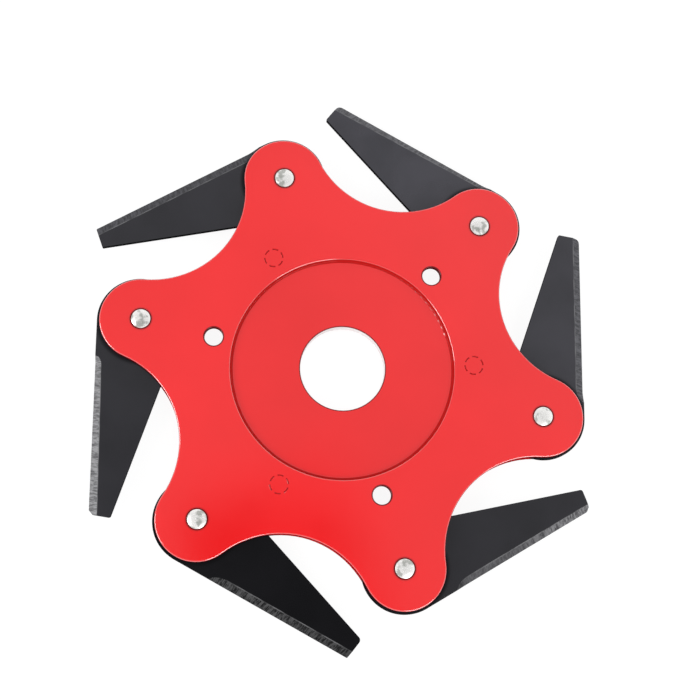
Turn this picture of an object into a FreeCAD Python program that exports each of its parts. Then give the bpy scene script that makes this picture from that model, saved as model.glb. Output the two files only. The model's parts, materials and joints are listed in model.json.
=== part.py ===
import FreeCAD, Part
import math
import os

# Six-knife disc for a brushcutter: two lobed steel plates with a swinging knife at every lobe.
# Units are millimetres. Z is the axis of the bore and points out of the upper plate.
# Z = 0 is the plane where the hubs of the two plates touch. X runs through the pivot of knife 1.
# Lobes, knives and rivets are numbered clockwise as seen from above.

V = FreeCAD.Vector

# Stations round the disc
station_count = 6
station_step = 360.0 / station_count

# Plates
plate_t = 1.8
bore_r = 12.7
notch_r = 28.0
rim_round = 0.5
bore_round = 0.25
hole_round = 0.3

# Knife plate and the room it has between the two plates
knife_t = 1.8
knife_side_play = 0.2
gap = knife_t + 2 * knife_side_play

# Dished middle of each plate, deep enough for the two hubs to touch
dish_depth = gap / 2
dish_floor_r = 33.15
dish_angle = 65.0
dish_lip_r = 0.4
dish_foot_r = 0.9
dish_top_r = dish_floor_r + dish_depth / math.tan(math.radians(dish_angle))
bend_shift = plate_t * math.tan(math.radians(dish_angle / 2))

# Heights that follow from the plates
inner_face_z = gap / 2
outer_face_z = inner_face_z + plate_t
hub_face_z = outer_face_z - dish_depth

# Small holes on the lines of lobes 2, 4 and 6, wider in the lower plate
small_hole_r = 2.75
lower_hole_r = small_hole_r + 1.65

# Flush pins that hold the plates apart near lobes 1, 3 and 5, each in a ring of short punch marks
pin_offset_angle = 15.0
pin_end_r = 2.3
pin_shoulder_r = pin_end_r + 1.8
stake_ring_r = pin_end_r + 0.42
stake_count = 6
stake_angle = 38.0
stake_width = 0.45
stake_depth = 0.35

# Circle of the small holes and the pins, clear of the bend round the dish
hole_room = 0.35
pin_room = 0.6
small_circle_r = dish_top_r + bend_shift + max(lower_hole_r + hole_room, pin_shoulder_r + pin_room)

# Knife, with a round root that stands out a little beyond the lobe and a hole behind its middle line
knife_root_r = 12.7
knife_reach = 58.5
knife_tip_w = 6.55
knife_hole_shift = 0.38
bevel_angle = 33.0
root_stand_out = 0.45
lobe_r = knife_root_r - root_stand_out

# Pivot circle, with the knife roots clear of the pins
root_room = 5.39
pivot_circle_r = small_circle_r + pin_shoulder_r + root_room + knife_root_r

# Angle from the radial line to each knife, counterclockwise from above, as the knives lie
lie_angles = [92.9, 94.2, 92.9, 93.9, 94.7, 93.5]

# What sets the six knives apart, knife 1 first: the length over the common reach and the corners of
# the tip. The front corners of knives 4 and 6 are cut, not rounded.
tip_excess = [0.5, -0.2, -0.7, 0.0, 0.0, 0.5]
front_corner = [0.3, 1.5, 1.3, 1.0, 0.3, 1.2]
back_corner = [0.3, 0.3, 0.4, 0.8, 1.2, 0.7]
cut_corner_knives = (4, 6)

# The hand-ground bevels, knife 1 first: where each starts along its edge, how wide it is there and at
# the tip, and the radius of its run-out. The first three start under the lobes.
bevel_start = [8.0, 8.0, 10.9, 16.7, 18.2, 15.5]
bevel_start_w = [2.5, 1.3, 2.3, 1.9, 2.2, 1.8]
bevel_tip_w = [2.4, 2.2, 2.2, 1.9, 2.2, 2.5]
run_out_r = [4.5, 4.5, 4.5, 5.5, 6.5, 2.6]

# Pivot rivets: a shoulder between the plates and a peened end on each side
rivet_end_r = 2.0
rivet_shoulder_r = rivet_end_r + 2.0
rivet_head_r = rivet_end_r + 0.82
rivet_seat_r = rivet_head_r + 0.35
rivet_seat_depth = 0.25
rivet_head_side = 0.2
rivet_head_h = 0.95
pivot_clearance = 0.05
knife_hole_r = rivet_shoulder_r + pivot_clearance


def polar(radius, angle, z=0.0):
    a = math.radians(angle)
    return V(radius * math.cos(a), radius * math.sin(a), z)


def station_angle(number):
    return -station_step * (number - 1)


def cylinder_at(radius, z0, z1, place):
    return Part.makeCylinder(radius, z1 - z0, V(place.x, place.y, z0))


def wire_of(points):
    return Part.makePolygon(points + [points[0]])


def round_edges(shape, radius, test):
    chosen = [edge for edge in shape.Edges if test(edge)]
    return shape.makeFillet(radius, chosen)


def lies_at(edge, z):
    box = edge.BoundBox
    return abs(box.ZMin - z) < 1e-4 and abs(box.ZMax - z) < 1e-4


def circle_radius(edge):
    curve = edge.Curve
    if isinstance(curve, Part.Circle):
        return curve.Radius
    return None


def lobed_prism(z0, z1):
    half_step = station_step / 2
    reach = lobe_r + notch_r
    offset = pivot_circle_r * math.sin(math.radians(half_step))
    notch_centre_r = pivot_circle_r * math.cos(math.radians(half_step))
    notch_centre_r += math.sqrt(reach ** 2 - offset ** 2)
    edges = []
    for i in range(station_count):
        lobe_angle = i * station_step
        lobe_centre = polar(pivot_circle_r, lobe_angle, z0)
        notch_after = polar(notch_centre_r, lobe_angle + half_step, z0)
        notch_before = polar(notch_centre_r, lobe_angle - half_step, z0)
        next_lobe = polar(pivot_circle_r, lobe_angle + station_step, z0)
        share = lobe_r / reach
        start = lobe_centre + (notch_before - lobe_centre) * share
        end = lobe_centre + (notch_after - lobe_centre) * share
        next_start = next_lobe + (notch_after - next_lobe) * share
        crest = polar(pivot_circle_r + lobe_r, lobe_angle, z0)
        valley = polar(notch_centre_r - notch_r, lobe_angle + half_step, z0)
        edges.append(Part.Arc(start, crest, end).toShape())
        edges.append(Part.Arc(end, valley, next_start).toShape())
    face = Part.Face(Part.Wire(edges))
    return face.extrude(V(0, 0, z1 - z0))


def dished_blank():
    blank_r = pivot_circle_r + 2 * lobe_r
    section = [
        V(bore_r, 0, hub_face_z - plate_t),
        V(dish_floor_r + bend_shift, 0, hub_face_z - plate_t),
        V(dish_top_r + bend_shift, 0, inner_face_z),
        V(blank_r, 0, inner_face_z),
        V(blank_r, 0, outer_face_z),
        V(dish_top_r, 0, outer_face_z),
        V(dish_floor_r, 0, hub_face_z),
        V(bore_r, 0, hub_face_z),
    ]
    blank = Part.Face(wire_of(section)).revolve(V(0, 0, 0), V(0, 0, 1), 360)
    sharp_radii = [dish_top_r, dish_floor_r + bend_shift, dish_top_r + bend_shift]

    def is_foot(edge):
        radius = circle_radius(edge)
        return radius is not None and abs(radius - dish_floor_r) < 1e-4

    def is_sharp_bend(edge):
        radius = circle_radius(edge)
        return radius is not None and min(abs(radius - r) for r in sharp_radii) < 1e-4

    blank = round_edges(blank, dish_foot_r, is_foot)
    return round_edges(blank, dish_lip_r, is_sharp_bend)


def make_upper_disc(hole_r):
    disc = dished_blank().common(lobed_prism(-outer_face_z, 2 * outer_face_z))
    outline_radii = [lobe_r, notch_r]

    def is_rim(edge):
        radius = circle_radius(edge)
        on_top = lies_at(edge, outer_face_z)
        return on_top and radius is not None and min(abs(radius - r) for r in outline_radii) < 1e-4

    disc = round_edges(disc, rim_round, is_rim)
    for number in (2, 4, 6):
        place = polar(small_circle_r, station_angle(number))
        disc = disc.cut(cylinder_at(hole_r, 0, 2 * outer_face_z, place))
    for number in (1, 3, 5):
        angle = station_angle(number) + pin_offset_angle
        place = polar(small_circle_r, angle)
        disc = disc.cut(cylinder_at(pin_end_r, 0, 2 * outer_face_z, place))
        for mark in stake_marks():
            disc = disc.cut(placed(mark, small_circle_r, angle, angle))
    for number in range(1, station_count + 1):
        place = polar(pivot_circle_r, station_angle(number))
        disc = disc.cut(cylinder_at(rivet_end_r, 0, 2 * outer_face_z, place))
        seat = cylinder_at(rivet_seat_r, outer_face_z - rivet_seat_depth, 2 * outer_face_z, place)
        disc = disc.cut(seat)

    def is_hole(edge):
        radius = circle_radius(edge)
        return radius is not None and abs(radius - hole_r) < 1e-4 and lies_at(edge, outer_face_z)

    def is_bore(edge):
        radius = circle_radius(edge)
        return radius is not None and abs(radius - bore_r) < 1e-4 and lies_at(edge, hub_face_z)

    disc = round_edges(disc, hole_round, is_hole)
    return round_edges(disc, bore_round, is_bore)


def make_lower_disc():
    return make_upper_disc(lower_hole_r).mirror(V(0, 0, 0), V(0, 0, 1))


def bevel_section(width):
    fall = width * math.tan(math.radians(bevel_angle))
    points = [
        V(0, 0, knife_t / 2),
        V(0, 0, 2 * knife_t),
        V(0, -width, 2 * knife_t),
        V(0, -width, knife_t / 2 - fall),
    ]
    return Part.Face(wire_of(points))


def bevel_tool(number, taper):
    start = bevel_start[number - 1]
    start_w = bevel_start_w[number - 1]
    widening = bevel_tip_w[number - 1] - start_w
    wheel_r = run_out_r[number - 1]
    run = bevel_section(knife_root_r).extrude(V(2 * knife_reach, 0, 0))
    run_out = bevel_section(wheel_r).revolve(V(0, -wheel_r, 0), V(0, 0, 1), 90)
    tool = run.fuse(run_out).removeSplitter()
    tool.rotate(V(0, 0, 0), V(0, 0, 1), math.degrees(math.atan(widening / (knife_reach - start))))
    tool.translate(V(start, start_w, 0))
    tool.rotate(V(0, 0, 0), V(0, 0, 1), math.degrees(taper))
    tool.translate(V(0, -knife_root_r / math.cos(taper), 0))
    return tool


def make_knife(number):
    half_tip = knife_tip_w / 2
    tip_distance = math.hypot(knife_reach, half_tip)
    taper = math.asin(knife_root_r / tip_distance) - math.atan(half_tip / knife_reach)
    tangent_x = knife_root_r * math.sin(taper)
    tangent_y = knife_root_r * math.cos(taper)
    excess = tip_excess[number - 1]
    tip_x = knife_reach + excess
    tip_y = half_tip - excess * math.tan(taper)
    z = -knife_t / 2
    front_start = V(tangent_x, -tangent_y, z)
    back_start = V(tangent_x, tangent_y, z)
    front_tip = V(tip_x, -tip_y, z)
    back_tip = V(tip_x, tip_y, z)
    edges = [
        Part.Arc(back_start, V(-knife_root_r, 0, z), front_start).toShape(),
        Part.makeLine(front_start, front_tip),
        Part.makeLine(front_tip, back_tip),
        Part.makeLine(back_tip, back_start),
    ]
    knife = Part.Face(Part.Wire(edges)).extrude(V(0, 0, knife_t))

    def is_front_corner(edge):
        centre = edge.CenterOfMass
        return abs(centre.x - tip_x) < 1e-4 and abs(centre.y + tip_y) < 1e-4

    def is_back_corner(edge):
        centre = edge.CenterOfMass
        return abs(centre.x - tip_x) < 1e-4 and abs(centre.y - tip_y) < 1e-4

    if number in cut_corner_knives:
        corner = [edge for edge in knife.Edges if is_front_corner(edge)]
        knife = knife.makeChamfer(front_corner[number - 1], corner)
    else:
        knife = round_edges(knife, front_corner[number - 1], is_front_corner)
    knife = round_edges(knife, back_corner[number - 1], is_back_corner)
    knife = knife.cut(bevel_tool(number, taper))
    knife.translate(V(0, -knife_hole_shift, 0))
    return knife.cut(cylinder_at(knife_hole_r, -knife_t, knife_t, V(0, 0, 0)))


def make_rivet():
    crown = outer_face_z + rivet_head_h
    side_top = outer_face_z + rivet_head_side
    dome = rivet_head_h - rivet_head_side
    dome_r = (rivet_head_r ** 2 + dome ** 2) / (2 * dome)
    half_angle = math.asin(rivet_head_r / dome_r) / 2
    middle = V(dome_r * math.sin(half_angle), 0, crown - dome_r * (1 - math.cos(half_angle)))
    top = V(0, 0, crown)
    side = V(rivet_head_r, 0, side_top)
    seat_z = outer_face_z - rivet_seat_depth
    line_points = [
        side,
        V(rivet_head_r, 0, seat_z),
        V(rivet_end_r, 0, seat_z),
        V(rivet_end_r, 0, inner_face_z),
        V(rivet_shoulder_r, 0, inner_face_z),
        V(rivet_shoulder_r, 0, 0),
        V(0, 0, 0),
        top,
    ]
    edges = [Part.Arc(top, middle, side).toShape()]
    for start, end in zip(line_points[:-1], line_points[1:]):
        edges.append(Part.makeLine(start, end))
    half = Part.Face(Part.Wire(edges)).revolve(V(0, 0, 0), V(0, 0, 1), 360)
    return half.fuse(half.mirror(V(0, 0, 0), V(0, 0, 1))).removeSplitter()


def stake_marks():
    section = [
        V(stake_ring_r, 0, outer_face_z - stake_depth),
        V(stake_ring_r + stake_width, 0, outer_face_z + stake_depth),
        V(stake_ring_r - stake_width, 0, outer_face_z + stake_depth),
    ]
    mark = Part.Face(wire_of(section)).revolve(V(0, 0, 0), V(0, 0, 1), stake_angle)
    marks = []
    for i in range(stake_count):
        copy = mark.copy()
        copy.rotate(V(0, 0, 0), V(0, 0, 1), i * 360.0 / stake_count)
        marks.append(copy)
    return marks


def make_spacer_pin():
    pin = cylinder_at(pin_end_r, -outer_face_z, outer_face_z, V(0, 0, 0))
    pin = pin.fuse(cylinder_at(pin_shoulder_r, -inner_face_z, inner_face_z, V(0, 0, 0)))
    return pin.removeSplitter()


def placed(shape, radius, angle, turn):
    copy = shape.copy()
    copy.rotate(V(0, 0, 0), V(0, 0, 1), turn)
    copy.translate(polar(radius, angle))
    return copy


parts = {
    "upper_disc": make_upper_disc(small_hole_r),
    "lower_disc": make_lower_disc(),
}
rivet_shape = make_rivet()
for number in range(1, station_count + 1):
    angle = station_angle(number)
    turn = angle + lie_angles[number - 1]
    parts["knife_%d" % number] = placed(make_knife(number), pivot_circle_r, angle, turn)
    parts["rivet_%d" % number] = placed(rivet_shape, pivot_circle_r, angle, angle)
pin_shape = make_spacer_pin()
for index, number in enumerate((1, 3, 5), start=1):
    angle = station_angle(number) + pin_offset_angle
    parts["spacer_pin_%d" % index] = placed(pin_shape, small_circle_r, angle, angle)

os.makedirs("parts", exist_ok=True)
for name, shape in parts.items():
    shape.exportStep("parts/%s.step" % name)
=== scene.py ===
import json
import math

import bpy
from mathutils import Matrix, Vector


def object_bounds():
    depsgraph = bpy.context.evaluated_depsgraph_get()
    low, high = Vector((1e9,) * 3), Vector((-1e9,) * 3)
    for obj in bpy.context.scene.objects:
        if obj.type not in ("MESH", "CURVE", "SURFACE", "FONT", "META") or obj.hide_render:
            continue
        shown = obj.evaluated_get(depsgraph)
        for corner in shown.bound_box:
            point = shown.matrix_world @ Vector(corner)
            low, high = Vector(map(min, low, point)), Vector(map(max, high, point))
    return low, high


# Looks of the six-knife brushcutter disc: red enamel plates, black ground knives, bright rivets.
# Lengths are metres in the row's frame. Directions are degrees counterclockwise from +X, seen from above.

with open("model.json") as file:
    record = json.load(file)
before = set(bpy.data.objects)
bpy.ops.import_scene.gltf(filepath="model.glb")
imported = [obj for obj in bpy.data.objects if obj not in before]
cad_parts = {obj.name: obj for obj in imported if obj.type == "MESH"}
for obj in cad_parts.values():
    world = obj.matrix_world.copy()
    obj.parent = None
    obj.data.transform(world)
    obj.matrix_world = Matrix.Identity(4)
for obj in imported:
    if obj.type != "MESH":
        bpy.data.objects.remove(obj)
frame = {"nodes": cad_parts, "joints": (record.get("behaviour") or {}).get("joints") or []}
cad_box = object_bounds()

MM = 0.001

# Camera, fitted to the photograph's lobes and rivets
CAMERA_AT = Vector((-64.9, 48.46, 377.05)) * MM
CAMERA_TURN = (12.276, -4.509, -106.989)
CAMERA_LENS = 66.05
SENSOR_WIDTH = 36.0

# Studio: where each lamp stands and how strong it is, the sky's strength on the left and the right, and
# how much stronger the sky is near the horizon
LAMPS = {"left_softbox": (84.0, 30.0, 3.7), "lower_softbox": (192.0, 32.0, 2.8)}
LAMP_DISTANCE = 0.9
LAMP_SIZE = (0.55, 0.42)
SKY_STRENGTH = (0.43, 0.55)
SKY_RIGHT = -62.0
HORIZON_GAIN = 1.9
BAND_DARKNESS = 0.95

# Floor: how pale it is to the object and to the eye, and its own glow to the eye
FLOOR_SIZE = 3.0
FLOOR_TONES = ((0.78, 0.78, 0.78, 1), (0.80, 0.80, 0.80, 1))
FLOOR_SEEN = (0.14, 0.14, 0.14, 1)
FLOOR_GLOW = 0.92

# Places on the discs: the floors of the rivet seats by their height from the middle plane, the radii over
# which the painted shade in the recess fades out, the groove at the foot of the recess by its radii, and the
# circles of the openings
SEAT_FLOOR = (2.60 * MM, 2.70 * MM)
SEAT_BLEND = 0.02 * MM
RECESS_SHADE_EDGE = (32.4 * MM, 34.0 * MM)
GROOVE = (32.60 * MM, 33.66 * MM)
BORE_RADIUS = 12.7 * MM
HOLE_RADIUS = 2.75 * MM
HOLE_CIRCLE = 39.557 * MM
HOLE_FIRST = 60.0
PIVOT_RADIUS = 61.747 * MM

# Enamel, and the painted shade on its sheared walls, rivet seats, lips and groove and round the rivets
ENAMEL_REDS = ((0.87, 0.0090, 0.0115, 1), (0.93, 0.0110, 0.0145, 1))
ENAMEL_ROUGHNESS = (0.10, 0.15)
ENAMEL_IOR = 1.9
RIM_IOR = 2.3
RIM_ROUGHNESS = 0.08
RING_SHADE_TONE = (0.16, 0.004, 0.005, 1)
SHADED_SHEARED_WALL = (0.110, 0.005, 0.007, 1)
BORE_WALL = (0.86, 0.82, 0.82, 1)
SEAT_SHADE_TONE = (0.26, 0.012, 0.012, 1)
LIP_SHADE_TONE = (0.12, 0.006, 0.006, 1)
GROOVE_SHADE_TONE = (0.46, 0.009, 0.008, 1)
BLACK = (0, 0, 0, 1)

# Rivets
ZINC_TONES = ((0.48, 0.49, 0.46, 1), (0.94, 0.93, 0.91, 1))
ZINC_METAL = 0.4
ZINC_ROUGHNESS = (0.18, 0.30)

# Knives. Painted shade: near the lobe the root's skin is made dull and near-black, the same colour as the
# walls, out to the radii below, where it passes under the lobe.
KNIFE_ROUGHNESS = 0.24
GROUND_ROUGHER = 0.08
KNIFE_TINT = (0.94, 0.93, 1.0, 1.0)
KNIFE_WALL_AND_ROOT_SHADE = (0.008, 0.008, 0.009, 1)
# Painted highlight along the line where the bevel meets the flat
BORDER_HIGHLIGHT = (0.16, 0.16, 0.165, 1)
ROOT_SHADE_RUN = (12.6 * MM, 14.0 * MM)
# Run from the pivot along the knife over which the grinding marks are painted paler, a painted highlight
# toward the tip
TIP_HIGHLIGHT_RUN = (30 * MM, 52 * MM)

# Each knife gets its own copy of the black steel, lighter or darker to paint how the light falls on it:
# refraction index and tone of the skin, the darkest and palest tone of the grinding marks, how much paler
# those get at the tip, which is a painted highlight, and how blue they are
KNIFE_LIT_TONES = {
    "knife_1": (1.75, 0.010, 0.006, 0.050, 1.2, 1.15),
    "knife_2": (1.85, 0.026, 0.030, 0.120, 1.0, 1.10),
    "knife_3": (1.82, 0.018, 0.015, 0.100, 1.0, 1.12),
    "knife_4": (1.69, 0.008, 0.004, 0.052, 3.8, 1.03),
    "knife_5": (1.36, 0.003, 0.002, 0.070, 0.8, 1.02),
    "knife_6": (1.69, 0.009, 0.060, 0.270, 1.0, 1.02),
}


def compass(angle, elevation=0.0):
    a, e = math.radians(angle), math.radians(elevation)
    return Vector((math.cos(a) * math.cos(e), math.sin(a) * math.cos(e), math.sin(e)))


class Nodes:
    """Short ways to add and join shader nodes in one tree."""

    def __init__(self, tree, output="ShaderNodeOutputMaterial"):
        self.tree = tree
        tree.nodes.clear()
        self.output = self.add(output)

    def add(self, kind, inputs=None, **settings):
        node = self.tree.nodes.new(kind)
        for name, value in settings.items():
            setattr(node, name, value)
        for key, value in (inputs or {}).items():
            self.feed(node.inputs[key], value)
        return node

    def feed(self, socket, value):
        if isinstance(value, bpy.types.NodeSocket):
            self.tree.links.new(value, socket)
        else:
            socket.default_value = value

    def show(self, surface):
        self.feed(self.output.inputs["Surface"], surface)

    def math(self, operation, a, b=0.0, clamp=False):
        node = self.add("ShaderNodeMath", {0: a, 1: b}, operation=operation, use_clamp=clamp)
        return node.outputs[0]

    def both(self, a, b):
        return self.math("MULTIPLY", a, b)

    def either(self, a, b):
        return self.math("MAXIMUM", a, b)

    def rest(self, share):
        return self.math("SUBTRACT", 1.0, share)

    def vector(self, operation, a, b=(0, 0, 0)):
        node = self.add("ShaderNodeVectorMath", {0: a, 1: b}, operation=operation)
        return node.outputs["Value" if operation in ("DOT_PRODUCT", "LENGTH") else "Vector"]

    def split(self, vector):
        return self.add("ShaderNodeSeparateXYZ", {0: vector}).outputs

    def ramp(self, value, low, high, to_low=0.0, to_high=1.0):
        inputs = {"Value": value, "From Min": low, "From Max": high, "To Min": to_low, "To Max": to_high}
        return self.add("ShaderNodeMapRange", inputs, interpolation_type="SMOOTHSTEP").outputs[0]

    def fall(self, value, low, high, top=1.0, bottom=0.0):
        return self.ramp(value, low, high, top, bottom)

    def mix(self, share, a, b):
        node = self.add("ShaderNodeMix", data_type="RGBA")
        self.feed(node.inputs["Factor"], share)
        self.feed(node.inputs[6], a)
        self.feed(node.inputs[7], b)
        return node.outputs[2]

    def noise(self, place, scale, detail=2.0, roughness=0.5):
        inputs = {"Vector": place, "Scale": scale, "Detail": detail, "Roughness": roughness}
        return self.add("ShaderNodeTexNoise", inputs).outputs["Fac"]

    def stretched(self, place, scale):
        return self.add("ShaderNodeMapping", {"Vector": place, "Scale": scale}).outputs[0]

    def bump(self, height, distance, strength=1.0, normal=None):
        inputs = {"Height": height, "Distance": distance, "Strength": strength}
        if normal is not None:
            inputs["Normal"] = normal
        return self.add("ShaderNodeBump", inputs).outputs[0]

    def object_place(self):
        return self.add("ShaderNodeTexCoord").outputs["Object"]

    def plane_radius(self, place):
        """Distance from the place's own Z axis."""
        return self.vector("LENGTH", self.vector("MULTIPLY", place, (1, 1, 0)))

    def upness(self, low, high):
        """0 on walls and 1 on faces that look up or down, by the steepness of the surface."""
        normal = self.add("ShaderNodeNewGeometry").outputs["Normal"]
        return self.ramp(self.math("ABSOLUTE", self.split(normal)[2]), low, high)

    def ring_distance(self, radius, x, y, count, circle, first=0.0):
        """Distance in the plane from the nearest of some equal features on a circle round the bore."""
        step = math.radians(360 / count)
        turn = self.math("SUBTRACT", self.math("ARCTAN2", y, x), math.radians(first))
        whole = self.math("ROUND", self.math("DIVIDE", turn, step))
        turn = self.math("SUBTRACT", turn, self.both(whole, step))
        along = self.math("SUBTRACT", self.both(radius, self.math("COSINE", turn)), circle)
        aside = self.both(radius, self.math("SINE", turn))
        return self.math("SQRT", self.math("ADD", self.both(along, along), self.both(aside, aside)))

    def dull(self, shader, shiny, colour):
        """Shows the shader where the surface is shiny and a matt colour elsewhere."""
        matt = self.add("ShaderNodeBsdfDiffuse", {"Color": colour})
        mixed = self.add("ShaderNodeMixShader", {0: shiny, 1: matt.outputs[0], 2: shader.outputs[0]})
        self.show(mixed.outputs[0])


def new_material(name):
    material = bpy.data.materials.new(name)
    material.use_nodes = True
    nodes = Nodes(material.node_tree)
    shader = nodes.add("ShaderNodeBsdfPrincipled")
    nodes.show(shader.outputs[0])
    return material, nodes, shader


def red_enamel():
    """Baked red enamel, with painted shade: dark on the sheared walls, in the rivet seats, in the groove of
    the recess, on the lips of the openings and round the rivets, and a little darker over the recess. The
    bore is bright.
    """
    material, nodes, shader = new_material("red_enamel")
    place = nodes.object_place()
    x, y, z = nodes.split(place)
    radius = nodes.plane_radius(place)
    height = nodes.math("ABSOLUTE", z)
    cloud = nodes.noise(place, 28.0, 3.0)
    peel = nodes.noise(place, 900.0, 2.0)

    # Shares of the surface: floors of the rivet seats, painted faces, lips of the openings, groove, bore
    seat = nodes.both(nodes.ramp(height, SEAT_FLOOR[0], SEAT_FLOOR[0] + SEAT_BLEND),
                      nodes.fall(height, SEAT_FLOOR[1] - SEAT_BLEND, SEAT_FLOOR[1]))
    painted = nodes.rest(nodes.both(seat, nodes.upness(0.90, 0.98)))
    face = nodes.both(nodes.upness(0.38, 0.62), painted)
    rivet = nodes.ring_distance(radius, x, y, 6, PIVOT_RADIUS)
    hole = nodes.ring_distance(radius, x, y, 3, HOLE_CIRCLE, HOLE_FIRST)
    # Painted shade round each rivet head, fading out away from the seat.
    rivet_halo_shade = nodes.fall(rivet, 3.15 * MM, 3.75 * MM, 0.55)
    bore_lip = nodes.fall(radius, BORE_RADIUS + 0.15 * MM, BORE_RADIUS + 0.45 * MM, 0.8)
    hole_lip = nodes.fall(hole, HOLE_RADIUS + 0.18 * MM, HOLE_RADIUS + 0.50 * MM, 0.9)
    lips = nodes.both(nodes.either(bore_lip, hole_lip), face)
    groove = nodes.both(nodes.ramp(radius, GROOVE[0], GROOVE[0] + 0.25 * MM),
                        nodes.fall(radius, GROOVE[1] - 0.1 * MM, GROOVE[1]))
    groove = nodes.both(groove, nodes.rest(nodes.upness(0.95, 0.995)))
    in_bore = nodes.fall(radius, BORE_RADIUS + 0.02 * MM, BORE_RADIUS + 0.1 * MM)

    red = nodes.mix(nodes.ramp(cloud, 0.3, 0.7), *ENAMEL_REDS)
    # Painted shade: the recess and the middle of the disc are darkened a little toward black, fading out over
    # the recess edge.
    red = nodes.mix(nodes.fall(radius, *RECESS_SHADE_EDGE, 0.05), red, BLACK)
    # Painted shade: the base colour turns dark red round each rivet head and on the lips of the bore and the
    # small holes.
    thin = nodes.either(nodes.either(rivet_halo_shade, bore_lip), hole_lip)
    nodes.feed(shader.inputs["Base Color"], nodes.mix(thin, red, RING_SHADE_TONE))
    nodes.feed(shader.inputs["Roughness"], nodes.ramp(cloud, 0.2, 0.8, *ENAMEL_ROUGHNESS))
    shader.inputs["IOR"].default_value = ENAMEL_IOR
    nodes.feed(shader.inputs["Coat Weight"], nodes.rest(nodes.upness(0.82, 0.97)))
    shader.inputs["Coat IOR"].default_value = RIM_IOR
    shader.inputs["Coat Roughness"].default_value = RIM_ROUGHNESS
    swell = nodes.bump(cloud, 0.12 * MM, 0.35)
    nodes.feed(shader.inputs["Normal"], nodes.bump(peel, 0.01 * MM, 0.35, swell))

    # Painted shade: the sheared walls get a matt near-black red in place of the enamel. The bore wall is matt
    # and pale.
    matt = nodes.mix(in_bore, SHADED_SHEARED_WALL, BORE_WALL)
    # Painted shade: the floors of the rivet seats, round each rivet head, are matt dark red.
    matt = nodes.mix(nodes.rest(painted), matt, SEAT_SHADE_TONE)
    # Painted shade: the lips of the bore and the small holes are mostly matt dark red.
    matt = nodes.mix(lips, matt, LIP_SHADE_TONE)
    # Painted shade: the groove at the foot of the recess is almost all matt darker red.
    matt = nodes.mix(groove, matt, GROOVE_SHADE_TONE)
    dull = nodes.either(nodes.both(groove, 0.97), nodes.both(lips, 0.9))
    nodes.dull(shader, nodes.both(face, nodes.rest(dull)), matt)
    return material


def knife_steel(name, pivot, angle, border, lit_tones):
    """Satin black spring steel. The ground bevel shows its grinding marks, painted paler toward the tip, and
    a painted highlight along its border. Each knife's tones are set lighter or darker to paint how light
    falls on it, and painted shade darkens the root near the lobe.
    """
    ior, tone, dark_mark, pale_mark, tip_highlight, blue = lit_tones
    material, nodes, shader = new_material(name)
    mapping = nodes.add("ShaderNodeMapping", {"Vector": nodes.object_place()}, vector_type="TEXTURE")
    mapping.inputs["Location"].default_value = pivot
    mapping.inputs["Rotation"].default_value = (0, 0, math.radians(angle))
    place = mapping.outputs[0]
    up = nodes.split(nodes.add("ShaderNodeNewGeometry").outputs["True Normal"])[2]
    ground = nodes.both(nodes.ramp(up, 0.6, 0.7), nodes.fall(up, 0.93, 0.97))
    face = nodes.upness(0.2, 0.4)
    scratches = nodes.noise(nodes.stretched(place, (1.0, 0.10, 0.3)), 1900.0, 4.0, 0.75)
    grain = nodes.noise(nodes.stretched(place, (0.12, 1.0, 1.0)), 1500.0, 3.0)
    cloud = nodes.noise(place, 60.0, 3.0)

    skin = nodes.mix(nodes.ramp(cloud, 0.3, 0.7), (tone * 0.7, tone * 0.7, tone * 0.9, 1),
                     (tone * 1.3, tone * 1.27, tone * 1.6, 1))
    steel = nodes.mix(nodes.ramp(scratches, 0.40, 0.60), (dark_mark, dark_mark, dark_mark * blue, 1),
                      (pale_mark, pale_mark, pale_mark * blue, 1))
    # Painted highlight: the grinding marks grow paler toward the tip.
    tip_paling = nodes.ramp(nodes.split(place)[0], *TIP_HIGHLIGHT_RUN, 1.0, tip_highlight)
    steel = nodes.add("ShaderNodeVectorMath", {0: steel, "Scale": tip_paling}, operation="SCALE").outputs[0]

    # Painted highlight: a pale line where the bevel meets the flat, from the bevel's start outwards
    start, end = border
    run = (end - start).normalized()
    offset = nodes.vector("SUBTRACT", place, start)
    across = nodes.math("ABSOLUTE", nodes.vector("DOT_PRODUCT", offset, (-run.y, run.x, 0)))
    further = nodes.vector("DOT_PRODUCT", offset, (run.x, run.y, 0))
    line = nodes.both(nodes.fall(across, 0.08 * MM, 0.20 * MM), nodes.ramp(up, 0.3, 0.5))
    line = nodes.both(line, nodes.ramp(further, -0.5 * MM, 0.5 * MM))
    line = nodes.both(line, nodes.ramp(nodes.noise(place, 250.0, 2.0), 0.35, 0.6, 0.25, 1.0))

    nodes.feed(shader.inputs["Base Color"], nodes.mix(line, nodes.mix(ground, skin, steel), BORDER_HIGHLIGHT))
    rougher = nodes.both(ground, GROUND_ROUGHER)
    nodes.feed(shader.inputs["Roughness"], nodes.math("ADD", KNIFE_ROUGHNESS, rougher))
    shader.inputs["IOR"].default_value = ior
    shader.inputs["Specular Tint"].default_value = KNIFE_TINT
    fine = nodes.bump(grain, 0.01 * MM, 0.2)
    nodes.feed(shader.inputs["Normal"], nodes.bump(nodes.both(scratches, ground), 0.08 * MM, 0.8, fine))

    shiny = nodes.both(face, nodes.rest(nodes.both(ground, 0.45)))
    # Painted shade: near the lobe the root's skin is mostly matt near-black.
    shiny = nodes.both(shiny, nodes.ramp(nodes.plane_radius(place), *ROOT_SHADE_RUN, 0.25, 1.0))
    nodes.dull(shader, shiny, nodes.mix(nodes.both(face, ground), KNIFE_WALL_AND_ROOT_SHADE, steel))
    return material


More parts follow.
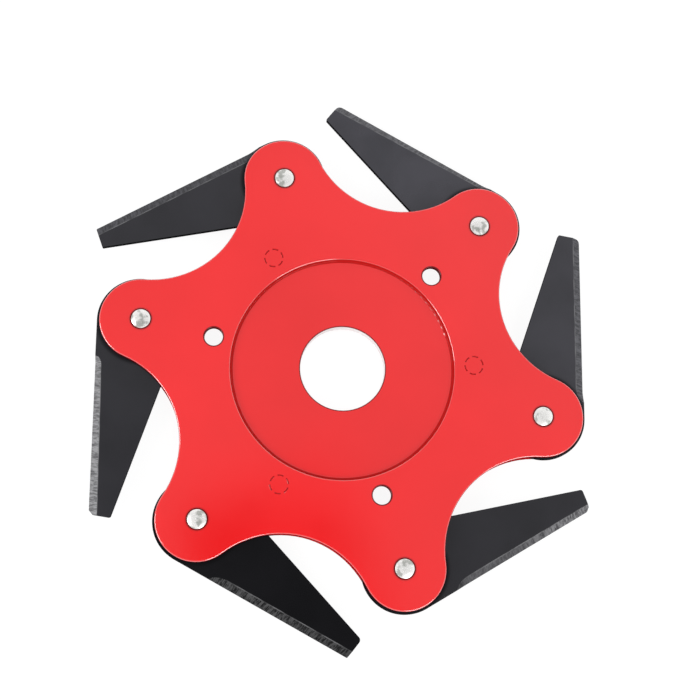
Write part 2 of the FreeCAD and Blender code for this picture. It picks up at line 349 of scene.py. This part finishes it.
def rivet_steel():
    """Bright zinc on a peened head, with hammer marks and greyer streaks where the zinc is thin."""
    material, nodes, shader = new_material("bright_rivet")
    place = nodes.object_place()
    dents = nodes.noise(place, 420.0, 1.5)
    fine = nodes.noise(place, 2500.0, 2.0)
    streaks = nodes.noise(place, 480.0, 2.0, 0.5)
    nodes.feed(shader.inputs["Base Color"], nodes.mix(nodes.ramp(streaks, 0.36, 0.50), *ZINC_TONES))
    shader.inputs["Metallic"].default_value = ZINC_METAL
    nodes.feed(shader.inputs["Roughness"], nodes.ramp(fine, 0.2, 0.8, *ZINC_ROUGHNESS))
    nodes.feed(shader.inputs["Normal"], nodes.bump(dents, 0.12 * MM, 0.6))
    return material


def dress(node, material):
    for slot in frame["nodes"][node].material_slots:
        slot.material = material


def knife_angle(node, pivot):
    """Direction from the pivot to the knife's tip, from the CAD mesh."""
    vertices = [v.co for v in frame["nodes"][node].data.vertices]
    far = max((v - pivot).length for v in vertices)
    tip = [v for v in vertices if (v - pivot).length > 0.985 * far]
    middle = sum(tip, Vector()) / len(tip)
    return math.degrees(math.atan2(middle.y - pivot.y, middle.x - pivot.x))


def bevel_border(node, pivot, angle):
    """Ends of the line between the flat and the bevel, in the knife's own axes, from the CAD mesh."""
    mesh = frame["nodes"][node].data
    turn = Matrix.Rotation(math.radians(-angle), 3, "Z")
    bevel = [p for p in mesh.polygons if 0.6 < p.normal.z < 0.93]
    bevel_normal = max(bevel, key=lambda p: p.area).normal
    flat_bevel = [p for p in bevel if p.normal.dot(bevel_normal) > 0.9999]
    corners = [mesh.vertices[i].co for p in flat_bevel for i in p.vertices]
    top = max(v.z for v in corners)
    line = [turn @ (v - pivot) for v in corners if v.z > top - 0.01 * MM]
    ends = min(line, key=lambda v: v.x), max(line, key=lambda v: v.x)
    return [Vector((v.x, v.y, 0.0)) for v in ends]


def add_lamp(name, angle, elevation, power):
    data = bpy.data.lights.new(name, "AREA")
    data.shape = "RECTANGLE"
    data.size, data.size_y = LAMP_SIZE
    data.energy = power
    lamp = bpy.data.objects.new(name, data)
    lamp.location = compass(angle, elevation) * LAMP_DISTANCE
    lamp.rotation_euler = lamp.location.to_track_quat("Z", "Y").to_euler()
    bpy.context.collection.objects.link(lamp)


def add_world():
    """Pale studio, a little brighter on the right, with a dark band overhead where the camera hangs."""
    world = bpy.data.worlds.new("studio")
    bpy.context.scene.world = world
    world.use_nodes = True
    nodes = Nodes(world.node_tree, "ShaderNodeOutputWorld")
    direction = nodes.add("ShaderNodeTexCoord").outputs["Generated"]
    x, y, z = nodes.split(direction)
    toward_right = nodes.vector("DOT_PRODUCT", direction, compass(SKY_RIGHT))
    sky = nodes.ramp(toward_right, 0.20, 0.36, *SKY_STRENGTH)
    horizon = nodes.fall(z, 0.50, 0.88, HORIZON_GAIN, 1.0)
    band = nodes.both(nodes.ramp(y, -0.112, -0.090), nodes.fall(y, 0.022, 0.040))
    band = nodes.both(band, nodes.fall(x, 0.090, 0.110))
    band = nodes.both(band, nodes.ramp(z, 0.90, 0.93))
    strength = nodes.both(nodes.both(sky, horizon), nodes.rest(nodes.both(band, BAND_DARKNESS)))
    background = nodes.add("ShaderNodeBackground", {"Color": (1, 1, 1, 1), "Strength": strength})
    nodes.show(background.outputs[0])


def white_floor():
    """Plain pale paint to the object. The eye sees it almost white, with the disc's shadow kept."""
    material = bpy.data.materials.new("white_floor")
    material.use_nodes = True
    nodes = Nodes(material.node_tree)
    path = nodes.add("ShaderNodeLightPath").outputs
    seen = nodes.math("ADD", path["Is Camera Ray"], path["Is Glossy Ray"], clamp=True)
    seen = nodes.math("ADD", seen, path["Is Transmission Ray"], clamp=True)
    tone = nodes.mix(nodes.noise(nodes.object_place(), 3.0), *FLOOR_TONES)
    plain = nodes.add("ShaderNodeBsdfDiffuse", {"Color": tone})
    pale = nodes.add("ShaderNodeBsdfDiffuse", {"Color": FLOOR_SEEN})
    glow = nodes.add("ShaderNodeEmission", {"Color": (1, 1, 1, 1), "Strength": FLOOR_GLOW})
    bright = nodes.add("ShaderNodeAddShader", {0: pale.outputs[0], 1: glow.outputs[0]})
    mixed = nodes.add("ShaderNodeMixShader", {0: seen, 1: plain.outputs[0], 2: bright.outputs[0]})
    nodes.show(mixed.outputs[0])
    return material


def add_floor():
    low = cad_box[0][2]
    half = FLOOR_SIZE / 2
    corners = [(-half, -half, low), (half, -half, low), (half, half, low), (-half, half, low)]
    mesh = bpy.data.meshes.new("floor")
    mesh.from_pydata(corners, [], [(0, 1, 2, 3)])
    mesh.materials.append(white_floor())
    floor = bpy.data.objects.new("floor", mesh)
    bpy.context.collection.objects.link(floor)


def add_camera():
    data = bpy.data.cameras.new("camera")
    data.lens = CAMERA_LENS
    data.sensor_width = SENSOR_WIDTH
    camera = bpy.data.objects.new("camera", data)
    camera.location = CAMERA_AT
    camera.rotation_euler = [math.radians(turn) for turn in CAMERA_TURN]
    bpy.context.collection.objects.link(camera)
    bpy.context.scene.camera = camera


enamel = red_enamel()
for node in ("upper_disc", "lower_disc", "spacer_pin_1", "spacer_pin_2", "spacer_pin_3"):
    dress(node, enamel)
bright_zinc = rivet_steel()
for number in range(1, 7):
    dress("rivet_%d" % number, bright_zinc)
for joint in frame["joints"]:
    pivot = Vector(joint["pos_m"])
    node = joint["child"].replace("swing_", "")
    angle = knife_angle(node, pivot)
    border = bevel_border(node, pivot, angle)
    dress(node, knife_steel("black_steel_" + node, pivot, angle, border, KNIFE_LIT_TONES[node]))

add_world()
for name, (angle, elevation, power) in LAMPS.items():
    add_lamp(name, angle, elevation, power)
add_floor()
add_camera()
bpy.context.scene.view_settings.view_transform = "Standard"
